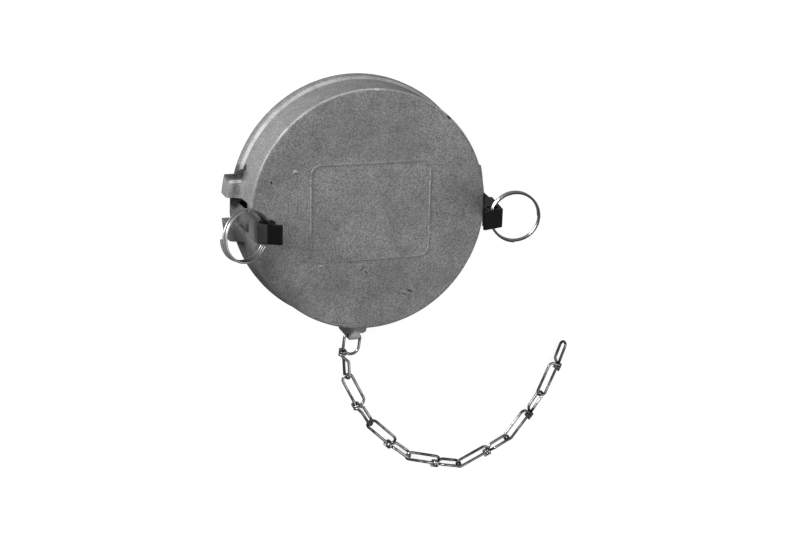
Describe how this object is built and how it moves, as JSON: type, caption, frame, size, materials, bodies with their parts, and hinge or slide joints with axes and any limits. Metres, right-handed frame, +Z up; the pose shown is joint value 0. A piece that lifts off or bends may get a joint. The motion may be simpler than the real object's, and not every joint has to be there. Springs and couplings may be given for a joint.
{
  "type": "adapter dust cap",
  "caption": "Cast round cap for a grooved hose adapter, with two cam levers on pins, split pull rings, an inner gasket and a knotted wire chain.",
  "frame": {"origin": "centre of the cap's open mouth, in the plane of its rim", "axes": "+Z up through the closed face, +X towards the right lever, -Y towards the chain's lug"},
  "size_m": [0.2445, 0.2621, 0.0766],
  "materials": {
    "casting": "sand-cast, dull, fine grain",
    "rubber": "moulded, matte",
    "lever": "blackened casting, worn at the edges",
    "pin": "plain steel",
    "ring": "bright plated wire",
    "chain": "plated wire, dulled"
  },
  "bodies": {
    "cap": {"cap_body": "casting", "gasket": "rubber", "lever_pin_left": "pin", "lever_pin_right": "pin"},
    "lever_left": {"lever_left": "lever"},
    "lever_right": {"lever_right": "lever"},
    "ring_left": {"pull_ring_left": "ring"},
    "ring_right": {"pull_ring_right": "ring"},
    "link_1": {"chain_link_1": "chain"},
    "link_2": {"chain_link_2": "chain"},
    "link_3": {"chain_link_3": "chain"},
    "link_4": {"chain_link_4": "chain"},
    "link_5": {"chain_link_5": "chain"},
    "link_6": {"chain_link_6": "chain"},
    "link_7": {"chain_link_7": "chain"}
  },
  "joints": [
    {"name": "lever_left_swing", "type": "hinge", "parent": "cap", "child": "lever_left", "pos_m": [-0.072, 0, 0.006], "axis": [0, -1, 0], "range_deg": [0, 90]},
    {"name": "lever_right_swing", "type": "hinge", "parent": "cap", "child": "lever_right", "pos_m": [0.072, 0, 0.006], "axis": [0, 1, 0], "range_deg": [0, 90]},
    {"name": "ring_left_swing", "type": "hinge", "parent": "lever_left", "child": "ring_left", "pos_m": [-0.06959, 0, 0.0632], "axis": [0, 1, 0], "range_deg": [-90, 150]},
    {"name": "ring_right_swing", "type": "hinge", "parent": "lever_right", "child": "ring_right", "pos_m": [0.06372, 0, 0.06265], "axis": [0, -1, 0], "range_deg": [-72, 150]},
    {"name": "chain_lug_swing", "type": "hinge", "parent": "cap", "child": "link_1", "pos_m": [0, -0.08615, 0.0041], "axis": [-0.9945, 0.1045, 0], "range_deg": [-90, 90]},
    {"name": "chain_hinge_2", "type": "hinge", "parent": "link_1", "child": "link_2", "pos_m": [-0.00298, -0.11449, 0.0041], "axis": [0, 0, 1], "range_deg": [-71, 7]},
    {"name": "chain_hinge_3", "type": "hinge", "parent": "link_2", "child": "link_3", "pos_m": [0.01382, -0.14746, 0.0041], "axis": [0, 0, 1], "range_deg": [-50, 15]},
    {"name": "chain_hinge_4", "type": "hinge", "parent": "link_3", "child": "link_4", "pos_m": [0.04043, -0.17316, 0.0041], "axis": [0, 0, 1], "range_deg": [-60, 4]},
    {"name": "chain_hinge_5", "type": "hinge", "parent": "link_4", "child": "link_5", "pos_m": [0.076, -0.18336, 0.0041], "axis": [0, 0, 1], "range_deg": [-78, 7]},
    {"name": "chain_hinge_6", "type": "hinge", "parent": "link_5", "child": "link_6", "pos_m": [0.1098, -0.16831, 0.0041], "axis": [0, 0, 1], "range_deg": [-66, 12]},
    {"name": "chain_hinge_7", "type": "hinge", "parent": "link_6", "child": "link_7", "pos_m": [0.13258, -0.13916, 0.0041], "axis": [0, 0, 1], "range_deg": [-53, 25]}
  ]
}
